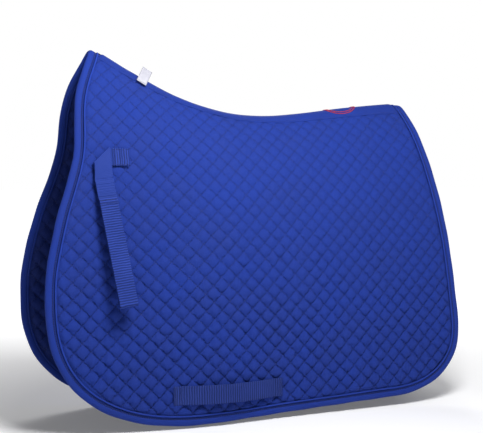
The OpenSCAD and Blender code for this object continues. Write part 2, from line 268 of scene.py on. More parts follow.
def new_mesh(name, verts, faces, uv=None, flip=False, outward=True):
    """Object from points in mm, lists of equal-sided faces, and a point's (u, v) in mm."""
    me = bpy.data.meshes.new(name)
    verts = np.asarray(verts, float).reshape(-1, 3) * MM
    groups = [np.asarray(f, int) for f in (faces if isinstance(faces, list) else [faces])]
    loops = np.concatenate([g.ravel() for g in groups])
    sizes = np.concatenate([np.full(len(g), g.shape[1]) for g in groups])
    starts = np.concatenate([[0], np.cumsum(sizes)[:-1]])
    me.vertices.add(len(verts))
    me.vertices.foreach_set("co", verts.ravel())
    me.loops.add(len(loops))
    me.loops.foreach_set("vertex_index", loops)
    me.polygons.add(len(sizes))
    me.polygons.foreach_set("loop_start", starts)
    me.update(calc_edges=True)
    me.polygons.foreach_set("use_smooth", np.ones(len(sizes), bool))
    if uv is not None:
        layer = me.uv_layers.new(name="UVMap")
        layer.data.foreach_set("uv", (np.asarray(uv, float).reshape(-1, 2)[loops] * MM).ravel())
    if flip:
        me.flip_normals()
    me.update()
    o = linked(name, me)
    if outward:
        face_outward(o)
    return o


def face_outward(o):
    bm = bmesh.new()
    bm.from_mesh(o.data)
    bmesh.ops.recalc_face_normals(bm, faces=bm.faces)
    bm.to_mesh(o.data)
    bm.free()


def grid_faces(rows, cols, start=0, wrap=False):
    i, j = np.meshgrid(np.arange(rows - 1), np.arange(cols if wrap else cols - 1), indexing="ij")
    a, b = i * cols + j, i * cols + (j + 1) % cols
    return (start + np.stack([a, b, b + cols, a + cols], -1)).reshape(-1, 4)


def unit(v):
    return v / np.maximum(np.linalg.norm(v, axis=-1, keepdims=True), 1e-9)


def grid_normals(grid):
    return unit(np.cross(np.gradient(grid, axis=0), np.gradient(grid, axis=1)))


def lattice(across, along):
    """(across, along) of every point of a grid that has a row for each value of along."""
    return np.stack(np.broadcast_arrays(across[None, :], along[:, None]), -1)


SELVEDGE = 0.35  # share of a band's thickness that is left at its rim


def cloth_slab(name, grid, thick, uv=None, relief=0.0, normals=None):
    """Closed band of cloth about a grid of middle points. relief raises both faces; the rim is thinner."""
    rows, cols = grid.shape[:2]
    n = grid_normals(grid) if normals is None else normals
    t = np.full((rows, cols), thick / 2.0)
    for line in (np.s_[:, 0], np.s_[:, -1], np.s_[0], np.s_[-1]):
        t[line] *= SELVEDGE
    t += relief
    top, bottom = grid + n * t[..., None], grid - n * t[..., None]
    k = rows * cols
    rim = np.concatenate([np.arange(cols), cols * np.arange(2, rows + 1) - 1,
                          (rows - 1) * cols + np.arange(cols - 2, -1, -1), cols * np.arange(rows - 2, 0, -1)])
    nxt = np.roll(rim, -1)
    faces = np.concatenate([grid_faces(rows, cols), grid_faces(rows, cols, k)[:, ::-1],
                            np.stack([rim, rim + k, nxt + k, nxt], 1)])
    if uv is None:
        uv = lattice(path_length(grid[rows // 2]), path_length(grid[:, cols // 2]))
    points = np.concatenate([top.reshape(-1, 3), bottom.reshape(-1, 3)])
    return new_mesh(name, points, faces, np.concatenate([uv.reshape(-1, 2)] * 2))


def stitches(name, rows, length, width, height):
    """Sewn stitches as one mesh, from rows of (centres, directions, outward directions)."""
    centre, run, out = (np.concatenate([np.reshape(row[k], (-1, 3)) for row in rows]) for k in range(3))
    run, out = unit(run), unit(out)
    side = unit(np.cross(run, out))
    shape = [(-1.0, 0.25, -0.6), (-0.55, 1.0, 0.45), (0.55, 1.0, 0.45), (1.0, 0.25, -0.6)]
    verts = []
    for t, fat, rise in shape:
        c = centre + run * (t * length / 2) + out * (rise * height)
        for sx, sy in ((1, 0), (0, 1), (-1, 0), (0, -1)):
            verts.append(c + side * (sx * fat * width / 2) + out * (sy * fat * height / 2))
    verts = np.stack(verts, 1)
    n = len(centre)
    faces = []
    for ring in range(3):
        for k in range(4):
            a, b = ring * 4 + k, ring * 4 + (k + 1) % 4
            faces.append([a, b, b + 4, a + 4])
    faces += [[3, 2, 1, 0], [12, 13, 14, 15]]
    faces = (np.arange(n)[:, None, None] * 16 + np.array(faces)[None]).reshape(-1, 4)
    uv = np.broadcast_to(np.linspace(0, 4, 16)[None, :, None], (n, 16, 2))
    return new_mesh(name, verts.reshape(-1, 3), faces, uv, outward=False)


def placed(f, t, d, layer):
    """Point, direction of growing t, and outward direction, on a surface f(t, d, layer)."""
    step = 0.2
    t, d, layer = np.broadcast_arrays(*[np.asarray(a, float) for a in (t, d, layer)])
    here = f(t, d, layer)
    run = f(t + step, d, layer) - f(t - step, d, layer)
    across = f(t, d + step, layer) - f(t, d - step, layer)
    out = unit(np.cross(run, across))
    outward = f(t, d, layer - 1) - here
    out *= np.sign((out * outward).sum(-1, keepdims=True))
    return here, run, out


# ---------------------------------------------------------------- materials

def material(name, colour, rough, sheen, specular=0.2):
    m = bpy.data.materials.new(name)
    m.use_nodes = True
    nt = m.node_tree
    b = nt.nodes["Principled BSDF"]
    b.inputs["Base Color"].default_value = (*colour, 1)
    b.inputs["Roughness"].default_value = rough
    b.inputs["Sheen Weight"].default_value = sheen
    b.inputs["Sheen Roughness"].default_value = 0.45
    b.inputs["Sheen Tint"].default_value = (*[min(1, c * 1.5 + 0.12) for c in colour], 1)
    b.inputs["Specular IOR Level"].default_value = specular
    m.diffuse_color = (*colour, 1)
    return m


class Nodes:
    """Short names for building a node material."""

    def __init__(self, m):
        self.nt = m.node_tree
        self.bsdf = self.nt.nodes["Principled BSDF"]

    def node(self, kind):
        return self.nt.nodes.new(kind)

    def link(self, a, b):
        self.nt.links.new(a, b)

    def give(self, socket, value):
        """Links a value to a socket of the surface."""
        self.link(value, self.bsdf.inputs[socket])

    def uv(self, scale=(1, 1, 1), turn=0.0):
        t, m = self.node("ShaderNodeTexCoord"), self.node("ShaderNodeMapping")
        self.link(t.outputs["UV"], m.inputs["Vector"])
        m.inputs["Scale"].default_value = scale
        m.inputs["Rotation"].default_value = (0, 0, turn)
        return m.outputs["Vector"]

    def object(self):
        return self.node("ShaderNodeTexCoord").outputs["Object"]

    def noise(self, vector, scale, detail=2.0, rough=0.5):
        n = self.node("ShaderNodeTexNoise")
        n.inputs["Scale"].default_value = scale
        n.inputs["Detail"].default_value = detail
        n.inputs["Roughness"].default_value = rough
        self.link(vector, n.inputs["Vector"])
        return n.outputs["Fac"]

    def wave(self, vector, scale, direction, distortion):
        n = self.node("ShaderNodeTexWave")
        n.wave_type, n.bands_direction, n.wave_profile = "BANDS", direction, "SIN"
        n.inputs["Scale"].default_value = scale
        n.inputs["Distortion"].default_value = distortion
        n.inputs["Detail"].default_value = 1.0
        self.link(vector, n.inputs["Vector"])
        return n.outputs["Fac"]

    def math(self, op, a, b):
        n = self.node("ShaderNodeMath")
        n.operation = op
        for k, v in enumerate((a, b)):
            if isinstance(v, (int, float)):
                n.inputs[k].default_value = v
            else:
                self.link(v, n.inputs[k])
        return n.outputs[0]

    def ramp(self, fac, stops):
        """Colour ramp; a stop is (position, colour), or (position, grey)."""
        n = self.node("ShaderNodeValToRGB")
        e = n.color_ramp.elements
        while len(e) < len(stops):
            e.new(0.5)
        for k, (pos, colour) in enumerate(stops):
            grey = isinstance(colour, (int, float))
            e[k].position, e[k].color = pos, (*((colour,) * 3 if grey else colour), 1)
        self.link(fac, n.inputs["Fac"])
        return n.outputs["Color"]

    def across(self, vector):
        n = self.node("ShaderNodeSeparateXYZ")
        self.link(vector, n.inputs["Vector"])
        return n.outputs["X"]

    def line_distance(self, pitch):
        """Distance to the nearest diagonal line, where 1 is the pitch of the lines."""
        n = self.node("ShaderNodeSeparateXYZ")
        self.link(self.uv((1000.0 / pitch,) * 3, math.radians(45)), n.inputs["Vector"])
        return self.math("MINIMUM", *[self.math("PINGPONG", n.outputs[k], 0.5) for k in "XY"])

    def darken(self, colour, where, amount):
        n = self.node("ShaderNodeMixRGB")
        n.blend_type = "MULTIPLY"
        self.link(where, n.inputs["Fac"])
        self.link(colour, n.inputs["Color1"])
        n.inputs["Color2"].default_value = (amount, amount, amount, 1)
        return n.outputs["Color"]

    def bump(self, height, distance, strength, normal=None):
        n = self.node("ShaderNodeBump")
        n.inputs["Distance"].default_value = distance
        n.inputs["Strength"].default_value = strength
        self.link(height, n.inputs["Height"])
        if normal is not None:
            self.link(normal, n.inputs["Normal"])
        return n.outputs["Normal"]


def shade(colour, k):
    return tuple(min(1.0, c * k) for c in colour)


def bands(pitch):
    """Scale of a wave texture whose bands are a pitch apart, in mm."""
    return 1000.0 / pitch * 2 * math.pi / 20.0


def cotton(name, colour, thread=0.55, bump=0.00012, sheen=0.10, plain=False, quilt=0.0, seams=()):
    """Woven cotton: twill lines a thread apart, threads dyed slightly lighter or darker, and soft worn patches.
    quilt is the distance between rows of quilting, which are drawn in and pucker the cloth; along each row the colour
    is darkened as painted shade of the groove. seams are places across a tape where it is drawn in, and their half
    widths, in mm; there the colour is darkened as painted shade of the seam's crease."""
    rough, spread = 0.82, 0.14
    m = material(name, colour, rough, sheen)
    n = Nodes(m)
    scale = 1000.0 / thread
    vec = n.uv()
    if plain:
        weave = n.math("MULTIPLY", n.wave(vec, scale / 2, "X", 0.6), n.wave(vec, scale / 2, "Y", 0.6))
    else:
        weave = n.wave(vec, scale * 0.35014, "DIAGONAL", 1.2)
    fibre = n.noise(vec, scale * 0.8, 3.0, 0.6)
    patches = n.noise(n.object(), 22.0, 3.0, 0.55)
    mixed = n.math("ADD", n.math("MULTIPLY", patches, 0.55),
                   n.math("ADD", n.math("MULTIPLY", weave, 0.2), n.math("MULTIPLY", fibre, 0.25)))
    dye_and_painted_shade = n.ramp(mixed, [(0.25, shade(colour, 1 - spread)), (0.5, colour), (0.75, shade(colour, 1 + spread))])
    normal = n.bump(n.math("ADD", weave, n.math("MULTIPLY", fibre, 0.7)), bump, 0.6)
    if quilt:
        near = n.line_distance(quilt)
        pull = n.ramp(near, [(0.0, 1), (3.2 / quilt, 0)])
        pucker = n.math("MULTIPLY", n.noise(vec, 420.0, 2.0), pull)
        normal = n.bump(pucker, 0.0016, 1.0, normal)
        # painted shade: the colour is darkened along each quilting line, where the groove lies in shade
        dye_and_painted_shade = n.darken(dye_and_painted_shade, n.ramp(near, [(0.25 / quilt, 1), (0.9 / quilt, 0)]), 0.68)
    # painted shade: the colour is darkened along each seam, where its crease lies in shade
    for place, half in seams:
        off = n.math("ABSOLUTE", n.math("SUBTRACT", n.across(vec), place * MM), 0.0)
        dye_and_painted_shade = n.darken(dye_and_painted_shade, n.ramp(n.math("MULTIPLY", off, 500.0), [(half * 0.2, 1), (half * 0.5, 0)]), 0.5)
    n.give("Base Color", dye_and_painted_shade)
    n.give("Roughness", n.ramp(patches, [(0.3, rough - 0.06), (0.7, rough + 0.06)]))
    n.give("Normal", normal)
    return m


def ribbed(name, colour, rib, bump=0.0005, rib_shading=1.0):
    """Webbing: ribs across the band, each of many fine threads. The colour is paler on the rib crests as painted
    highlight and darker between them as painted shade; the last argument is how strong these are.
    """
    rough = 0.7
    m = material(name, colour, rough, 0.08, specular=0.15)
    n = Nodes(m)
    vec = n.uv()
    ribs = n.wave(vec, bands(rib), "Y", 1.6)
    threads = n.wave(vec, bands(0.5), "X", 0.8)
    fibre = n.noise(vec, 1400.0, 3.0, 0.6)
    patches = n.noise(n.object(), 30.0, 2.0)
    # painted highlight on the rib crests and painted shade between the ribs, mixed with the webbing's own uneven tone
    # from fibre and patches
    fac = n.math("ADD", n.math("MULTIPLY", ribs, 0.5),
                 n.math("ADD", n.math("MULTIPLY", fibre, 0.2), n.math("MULTIPLY", patches, 0.3)))
    crest_highlight = [c * (1 + 0.5 * rib_shading) + 0.012 * rib_shading for c in colour]
    n.give("Base Color", n.ramp(fac, [(0.2, shade(colour, 1 - 0.55 * rib_shading)), (0.5, colour), (0.85, crest_highlight)]))
    n.give("Normal", n.bump(n.math("ADD", ribs, n.math("MULTIPLY", threads, 0.35)), bump, 0.5))
    n.give("Roughness", n.ramp(fibre, [(0.3, rough - 0.08), (0.7, rough + 0.1)]))
    return m


def thread(name, colour, rough=0.5, sheen=0.15):
    """Sewing thread: twisted plies and a soft gloss."""
    m = material(name, colour, rough, sheen, specular=0.5)
    n = Nodes(m)
    vec = n.uv()
    twist = n.wave(vec, 900.0, "DIAGONAL", 0.5)
    patches = n.noise(n.object(), 60.0, 2.0)
    fac = n.math("ADD", n.math("MULTIPLY", twist, 0.5), n.math("MULTIPLY", patches, 0.5))
    n.give("Base Color", n.ramp(fac, [(0.2, shade(colour, 0.8)), (0.8, shade(colour, 1.25))]))
    n.give("Normal", n.bump(twist, 0.0001, 0.5))
    return m


def pile(name, colour, grain=0.6, depth=0.0005):
    """Hook or loop tape: a close pile of dots."""
    m = material(name, colour, 0.9, 0.6)
    n = Nodes(m)
    vec = n.uv()
    v = n.node("ShaderNodeTexVoronoi")
    v.inputs["Scale"].default_value = 1000.0 / grain
    n.link(vec, v.inputs["Vector"])
    d = v.outputs["Distance"]
    n.give("Base Color", n.ramp(d, [(0.0, shade(colour, 1.35)), (0.5, colour), (0.9, shade(colour, 0.5))]))
    n.give("Roughness", n.ramp(d, [(0.0, 0.8), (1.0, 1.0)]))
    n.give("Normal", n.bump(n.math("SUBTRACT", 1.0, d), depth, 0.8))
    return m


def satin(name, colour):
    """Satin ribbon: fine floats along the ribbon and a silky gloss."""
    m = material(name, colour, 0.38, 0.2, specular=0.6)
    n = Nodes(m)
    vec = n.uv()
    floats = n.wave(vec, bands(0.35), "X", 1.0)
    patches = n.noise(n.object(), 80.0, 3.0)
    fac = n.math("ADD", n.math("MULTIPLY", floats, 0.4), n.math("MULTIPLY", patches, 0.6))
    n.give("Base Color", n.ramp(fac, [(0.2, shade(colour, 0.86)), (0.8, colour)]))
    n.give("Roughness", n.ramp(patches, [(0.3, 0.3), (0.7, 0.48)]))
    n.give("Normal", n.bump(floats, 0.00006, 0.5))
    return m


BLUE = (0.0068, 0.0252, 0.20)
PITCH = 15.7  # distance between quilting lines
RIB = 3.2  # distance between the ribs of the webbing
MAT = {
    "cover": cotton("quilted_cotton", BLUE, quilt=PITCH),
    # the lining's blue is darkened to 0.58 of the cover's as painted shade for the inside of the pad
    "lining": cotton("shaded_lining_cotton", shade(BLUE, 0.58), sheen=0.05, quilt=PITCH),
    "spine": cotton("spine_cotton", shade(BLUE, 0.98), thread=0.5, plain=True),
    "binding": cotton("binding_cotton", shade(BLUE, 1.06), thread=0.6, plain=True, bump=0.00009,
                      seams=[(0.3, 1.5), (2.9, 1.4)]),
    "piping": cotton("piping_cotton", shade(BLUE, 1.3), thread=0.45, bump=0.00008,
                     seams=[(0.0, 1.5), (4.4, 1.3), (8.8, 1.5)]),
    "webbing": ribbed("strap_webbing", (0.0105, 0.030, 0.20), RIB),
    # the turned webbing gets weaker painted highlight and shade on its ribs
    "turned": ribbed("turned_webbing", (0.0105, 0.030, 0.20), 1.8, bump=0.00025, rib_shading=0.35),
    "keeper": ribbed("keeper_webbing", (0.0095, 0.025, 0.155), RIB),
    "pile": pile("loop_pile", (0.009, 0.02, 0.11)),
    "hooks": pile("hook_pile", (0.008, 0.018, 0.10), 1.1, 0.0004),
    "thread": thread("blue_thread", (0.009, 0.026, 0.19)),
    "dark_thread": thread("deep_blue_thread", (0.007, 0.019, 0.14)),
    "label": satin("white_satin", (0.30, 0.30, 0.35)),
    "red": thread("red_thread", (0.27, 0.009, 0.030), 0.5, 0.1),
}


def finish_piece(o, mat, bodies, slot, *nodes, zone=None):
    """Gives a piece its finish, attaches it to its body, or for a pair of bodies bakes its placement in, and hides the
    CAD nodes that it stands for. zone is not used."""
    o.data.materials.append(MAT[mat])
    if isinstance(bodies, str):
        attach(o, bodies)
    else:
        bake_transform(o)
    if nodes:
        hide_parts(*nodes)
    return o


def fold_zone(side):
    """Start and end of the bend across a flap's fold line."""
    axis = Vector((540, side * 6.5, -37)).normalized()
    down = Vector((0, 0, -1))
    down = (down - axis * down.dot(axis)).normalized()
    centre = Vector((-20, side * 54.25, -42.5))
    return tuple(centre - down * 34), tuple(centre + down * 12)


# ---------------------------------------------------------------- quilting

CELLS = 8  # mesh squares across a diamond of the simulated sample
SAMPLE = 6  # diamonds across the sample
SAMPLE_SCALE = 20.0  # the cloth solver works better on a larger sample
FIRST_ROW, LAST_ROW = -26, 30  # rows of quilting that reach the panel


def turned(u, v):
    """(p, q) of a place in the quilting, whose lines lie at 45 degrees."""
    return (u - v) / math.sqrt(2), (u + v) / math.sqrt(2)


def by_panel(p, q):
    return (p > -345) & (p < 290) & (q > -230)


def knots(n):
    """Positions of mesh lines across a diamond, closer together by its stitch lines."""
    x = np.linspace(-1, 1, n + 1)
    return (x + 0.17 * np.sin(math.pi * x) + 1) / 2


def pillow(a, b):
    """Height of a plain puff, for a and b from -1 to 1 across a diamond."""
    return ((1 - a * a) * (1 - b * b)) ** 0.62


def simulate_quilt():
    """Moves (dp, dq, dh) in mm of each mesh point of a sample of padded cotton, by diamond, from a cloth simulation:
    the cloth is held on its stitch lines, is a little larger than the plane, and is pushed out by its wadding."""
    n = SAMPLE * CELLS + 1
    line = np.concatenate([(i + knots(CELLS)[:-1]) for i in range(SAMPLE)] + [[SAMPLE]]) * PITCH
    u, v = np.meshgrid(line, line, indexing="ij")
    p, q = turned(u, v)
    idx = np.arange(n) % CELLS == 0
    held = idx[:, None] | idx[None, :]
    r = np.random.RandomState(11)
    a = 2 * (u / PITCH % 1) - 1
    b = 2 * (v / PITCH % 1) - 1
    lift = np.where(held, 0, 1.6 * pillow(a, b) + r.uniform(-0.25, 0.25, u.shape))
    start = np.stack([p, -lift, q], -1)
    flat = np.stack([p, 0 * p, q], -1)
    o = new_mesh("quilt_sample", (flat * SAMPLE_SCALE).reshape(-1, 3), grid_faces(n, n), outward=False)
    o.data.update()
    if o.data.polygons[0].normal.y > 0:
        o.data.flip_normals()
    group = o.vertex_groups.new(name="stitched")
    group.add([int(i) for i in np.flatnonzero(held.ravel())], 1.0, "REPLACE")
    loose = o.vertex_groups.new(name="slack")
    full = r.uniform(0.0, 1.0, (SAMPLE, SAMPLE))
    number = np.arange(n * n).reshape(n, n)
    for i in range(SAMPLE):
        for j in range(SAMPLE):
            inside = number[i * CELLS:(i + 1) * CELLS, j * CELLS:(j + 1) * CELLS]
            loose.add([int(k) for k in inside.ravel()], float(full[i, j]), "REPLACE")
    co = np.empty(n * n * 3)
    o.data.vertices.foreach_get("co", co)
    o.data.vertices.foreach_set("co", (start * SAMPLE_SCALE * MM).ravel())
    o.data.update()
    m = o.modifiers.new("cloth", "CLOTH")
    s = m.settings
    s.quality = 6
    s.mass = 0.25
    s.tension_stiffness = s.compression_stiffness = 12
    s.shear_stiffness = 4
    s.bending_stiffness = 0.35
    s.tension_damping = s.compression_damping = 8
    s.air_damping = 4
    s.vertex_group_mass = "stitched"
    s.pin_stiffness = 50
    s.vertex_group_shrink = "slack"
    s.shrink_min, s.shrink_max = -0.07, -0.16
    s.use_pressure = True
    s.uniform_pressure_force = 2.2
    s.effector_weights.gravity = 0.9
    m.collision_settings.use_collision = False
    m.collision_settings.use_self_collision = False
    m.point_cache.frame_start, m.point_cache.frame_end = 1, 40
    for f in range(1, 31):
        scene.frame_set(f)
    ev = o.evaluated_get(bpy.context.evaluated_depsgraph_get())
    ev.data.vertices.foreach_get("co", co)
    end = co.reshape(n, n, 3) / (SAMPLE_SCALE * MM)
    scene.frame_set(1)
    bpy.data.objects.remove(o)
    move = end - flat
    move = np.stack([move[..., 0], move[..., 2], -move[..., 1]], -1)
    move[held] = 0
    move = np.clip(move, [-1.6, -1.6, 0.0], [1.6, 1.6, 4.6])
    move[..., 2] = 3.2 * (move[..., 2] / 3.0) ** 0.85
    starts = range(0, SAMPLE * CELLS, CELLS)
    return np.array([move[i:i + CELLS + 1, j:j + CELLS + 1] for i in starts for j in starts])


LIBRARY = simulate_quilt()
TILE_OF = rng.randint(0, len(LIBRARY), (120, 120))
FLIP_OF = rng.randint(0, 2, (120, 120))
FULL_OF = rng.uniform(0.82, 1.12, (120, 120))


def fullness(p, q, d, s):
    """How far the quilting stands up: less near the ridge tape and along the edging, most low on the flap."""
    low = 0.6 + 0.55 * smooth((140 - q) / 260)
    edge = smooth((d - 13.8) / 5.0)
    top = smooth((s - tape_half(p) + 0.6) / 5.0)
    return low * (0.12 + 0.88 * edge) * (0.1 + 0.9 * top)


def valley(p, d, s, a, b):
    """Layer of the stitch lines on the outer face: d from the outline, s down from the ridge, and a and b the place
    across a diamond, from -1 to 1."""
    base = 3.5 - 0.35 * ((1 - a * a) + (1 - b * b))
    past_tape = s - tape_half(p)
    under_tape = 1 - smooth((past_tape + 2) / 6.0)
    seams = 1 - smooth((d - 14.4) / 2.0) + np.exp(-(((past_tape - 1.3) / 1.3) ** 2))
    return base - 0.9 * under_tape + 0.9 * seams


def sway(p, q):
    """Slow unevenness of the whole pad, in mm outward; none by the ridge."""
    w = (0.9 * np.sin(p / 83.0 + 0.7) * np.sin(q / 71.0 + 1.1)
         + 0.5 * np.sin(p / 37.0 + q / 45.0 + 2.0) + 0.35 * np.sin(p / 29.0 - q / 33.0))
    return w * smooth((ridge_q(p) - q - 40) / 60)


def quilted_face(cells, face):
    """One quilted face inside the outline: p, q and layer of its points, its quads, and p and q before puffing."""
    k = knots(cells)
    line = np.concatenate([(i + k[:-1]) * PITCH for i in range(FIRST_ROW, LAST_ROW)] + [[LAST_ROW * PITCH]])
    n = len(line)
    u, v = np.meshgrid(line, line, indexing="ij")
    p, q = turned(u, v)
    s = ridge_q(p) - q
    near_any = by_panel(p, q) & (s > -1)
    d = np.full(p.shape, -1.0)
    d[near_any] = edge_distance(p[near_any], q[near_any])
    keep = near_any & (d > 5.5) & (s > 0)
    # tile index and place in the tile of every point
    step = np.arange(n)
    tile = np.minimum(step // cells, LAST_ROW - FIRST_ROW - 1)
    place = step - tile * cells
    ti, tj = np.meshgrid(tile, tile, indexing="ij")
    ki, kj = np.meshgrid(place, place, indexing="ij")
    flip = FLIP_OF[ti, tj].astype(bool)
    fi, fj = np.where(flip, kj, ki) * CELLS / cells, np.where(flip, ki, kj) * CELLS / cells
    i0, j0 = np.minimum(fi.astype(int), CELLS - 1), np.minimum(fj.astype(int), CELLS - 1)
    wi, wj = (fi - i0)[..., None], (fj - j0)[..., None]
    lib = (TILE_OF[ti, tj] + (face * 17)) % len(LIBRARY)
    move = ((LIBRARY[lib, i0, j0] * (1 - wi) + LIBRARY[lib, i0 + 1, j0] * wi) * (1 - wj)
            + (LIBRARY[lib, i0, j0 + 1] * (1 - wi) + LIBRARY[lib, i0 + 1, j0 + 1] * wi) * wj)
    move[..., 0] *= np.where(flip, -1, 1)
    a, b = 2 * k[ki] - 1, 2 * k[kj] - 1
    amount = fullness(p, q, d, s) * FULL_OF[ti, tj]
    layer = np.maximum(valley(p, d, s, a, b) - move[..., 2] * amount, -1.1)
    pp, qq = p + move[..., 0] * amount, q + move[..., 1] * amount
    qq = np.minimum(qq, ridge_q(pp))
    keep_cell = keep[:-1, :-1] & keep[1:, :-1] & keep[1:, 1:] & keep[:-1, 1:]
    number = np.arange(n * n).reshape(n, n)
    quads = np.stack([number[:-1, :-1], number[1:, :-1], number[1:, 1:], number[:-1, 1:]], -1)[keep_cell]
    used = np.unique(quads)
    renumber = np.full(n * n, -1)
    renumber[used] = np.arange(len(used))
    pp, qq, layer, p, q = (x.ravel()[used] for x in (pp, qq, layer, p, q))
    return pp, qq, layer, renumber[quads], p, q


def border_edges(quads):
    e = np.concatenate([quads[:, [0, 1]], quads[:, [1, 2]], quads[:, [2, 3]], quads[:, [3, 0]]])
    key = np.sort(e, 1)
    _, index, count = np.unique(key[:, 0] * 10_000_000 + key[:, 1], return_index=True, return_counts=True)
    return e[index[count == 1]]


def quilted_sheet(name, side, cells, inner):
    """One padded face of a panel: a closed sheet from its quilted face to the middle of the wadding."""
    p, q, layer, quads, p0, q0 = quilted_face(cells, 1 if inner else 0)
    lift = sway(p0, q0)
    mid = 5.15 if inner else 4.85
    face = skin(p, q, (PAD - layer if inner else layer) - lift, side)
    core = skin(p0, q0, mid - lift, side)
    n = len(p)
    rim = border_edges(quads)
    faces = np.concatenate([quads, quads[:, ::-1] + n,
                            np.stack([rim[:, 1], rim[:, 0], rim[:, 0] + n, rim[:, 1] + n], 1)])
    uv = np.tile(np.stack([p0, q0], 1), (2, 1))
    return new_mesh(name, np.concatenate([face, core]), faces, uv, flip=(side == OFF) != inner, outward=False)


for label, side in SIDES:
    flap = ("spine_part", f"{label}_flap")
    cover = quilted_sheet(f"{label}_quilted_cover", side, CELLS, False)
    finish_piece(cover, "cover", flap, "cotton_cover", f"{label}_cover", f"{label}_cover_upper", f"{label}_wadding",
                 f"{label}_wadding_upper", zone=fold_zone(side))
    lining = quilted_sheet(f"{label}_quilted_lining", side, 6, True)
    finish_piece(lining, "lining", flap, "cotton_lining", f"{label}_lining", f"{label}_lining_upper", zone=fold_zone(side))

# ---------------------------------------------------------------- binding, piping and sewing along the edge

BINDING_FACE = [(11.5, 3.4), (11.45, 2.9), (11.0, 2.5), (10.3, 2.45), (9.7, 2.8), (9.2, 3.0), (8.7, 2.8), (8.0, 2.35),
                (6.8, 2.1), (5.2, 2.0), (3.6, 2.1), (2.2, 2.5), (1.1, 3.2), (0.35, 4.05)]
BINDING_FOLD = [(11.5, 6.2), (9.2, 6.25), (6.0, 7.1), (3.5, 7.0), (1.7, 6.1), (0.9, 5.0)]
STITCH_ROW = 9.2
STITCH_STEP = 3.3
PIPING_INSET, PIPING_LAYER, PIPING_R = 13.1, 2.15, 1.4


def edging_lengths():
    """Lengths along the outline, closer together where it crosses the ridge."""
    total = EDGE_T[-1]
    ends = np.arange(14, 80, 1.3)
    return np.concatenate([ends, np.arange(80, total - 80, 2.8), total - ends[::-1]])


def rumple(t, seed):
    """Uneven pull of the sewing along an edge, from -1 to 1."""
    return (0.5 * np.sin(t / 1.31 + seed) + 0.3 * np.sin(t / 0.83 + 2.1 * seed) + 0.45 * np.sin(t / 4.7 + 0.7 * seed)) / 1.1


def along_edge(side):
    """Surface f(t, d, layer) by length along the outline and distance inside it."""
    def f(t, d, layer):
        pq = edge_at(t, d)
        return skin(pq[..., 0], pq[..., 1], layer - sway(pq[..., 0], pq[..., 1]), side)
    return f


def binding_tape(name, side):
    half = np.array(BINDING_FACE)
    fold = np.array(BINDING_FOLD)
    mirror = lambda s: np.stack([s[:, 0], PAD - s[:, 1]], 1)
    section = np.concatenate([half, [[0, 5.0]], mirror(half)[::-1], fold, mirror(fold)[-2::-1]])
    t = edging_lengths()
    d, layer = section[None, :, 0], section[None, :, 1]
    outside = np.zeros(len(section))
    outside[1:2 * len(half)] = 1
    bulge = np.exp(-(((section[:, 0] - 5.5) / 3.0) ** 2)) * outside
    away = np.sign(section[:, 1] - 5.0)
    pull = rumple(t, 1.0 + side)[:, None]
    layer = layer + 0.22 * pull * bulge * away
    lip = (np.abs(section[:, 0] - 11.3) < 0.4) * outside
    d = d + 0.25 * np.sin(t / 9.0 + side)[:, None] * (section[:, 0] < 3) - 0.18 * pull * lip
    points = along_edge(side)(t[:, None], d, layer)
    n, k = points.shape[:2]
    uv = lattice(path_length(section), t)
    caps = np.array([np.arange(k)[::-1], (n - 1) * k + np.arange(k)])
    return new_mesh(name, points.reshape(-1, 3), [grid_faces(n, k, wrap=True), caps], uv)


def piping(name, side):
    t = edging_lengths()
    sides = 12
    ang = np.linspace(0, 2 * math.pi, sides, endpoint=False)
    r = PIPING_R * (1 + 0.03 * np.sin(t / 1.9 + side))[:, None]
    d = PIPING_INSET + 0.15 * np.sin(t / 21.0)[:, None] + r * np.cos(ang)
    points = along_edge(side)(t[:, None], d, PIPING_LAYER - r * np.sin(ang))
    uv = lattice(ang * PIPING_R, t)
    n = len(t)
    caps = np.array([np.arange(sides)[::-1], (n - 1) * sides + np.arange(sides)])
    return new_mesh(name, points.reshape(-1, 3), [grid_faces(n, sides, wrap=True), caps], uv)


def edge_stitches(name, side):
    f = along_edge(side)
    t = np.arange(24, EDGE_T[-1] - 24, STITCH_STEP)
    pq = edge_at(t, STITCH_ROW)
    t = t[ridge_q(pq[:, 0]) - pq[:, 1] > 1.5]
    under, run, out = placed(f, t + 1.6, STITCH_ROW, PAD - 2.85)
    return stitches(name, [placed(f, t, STITCH_ROW, 2.85), (under, run, -out)], 2.4, 0.6, 0.4)


def quilting_thread(name, side, inner):
    """The rows of stitches along both sets of quilting lines."""
    rows = []
    lines = np.arange(FIRST_ROW, LAST_ROW) * PITCH
    along_line = np.arange(FIRST_ROW * PITCH, LAST_ROW * PITCH, STITCH_STEP)
    for k in (0, 1):
        fixed, moving = np.meshgrid(lines, along_line, indexing="ij")
        moving = moving + rng.uniform(0, STITCH_STEP, (len(lines), 1))
        p, q = turned(moving, fixed) if k else turned(fixed, moving)
        ok = by_panel(p, q) & (ridge_q(p) - q > tape_half(p) - 2)
        p, q, fixed, moving = p[ok], q[ok], fixed[ok], moving[ok]
        d = edge_distance(p, q)
        ok = d > 14.0
        p, q, d, fixed, moving = p[ok], q[ok], d[ok], fixed[ok], moving[ok]
        b = 2 * ((moving / PITCH) % 1) - 1
        low = valley(p, d, ridge_q(p) - q, np.ones_like(b), b) - 0.12
        layer = (PAD - low if inner else low) - sway(p, q)

        def on_line(t, w, lay, k=k):
            return skin(*(turned(t, w) if k else turned(w, t)), lay, side)
        here, run, out = placed(on_line, moving, fixed, layer)
        rows.append((here, run, -out if inner else out))
    return stitches(name, rows, 2.3, 0.42, 0.34)


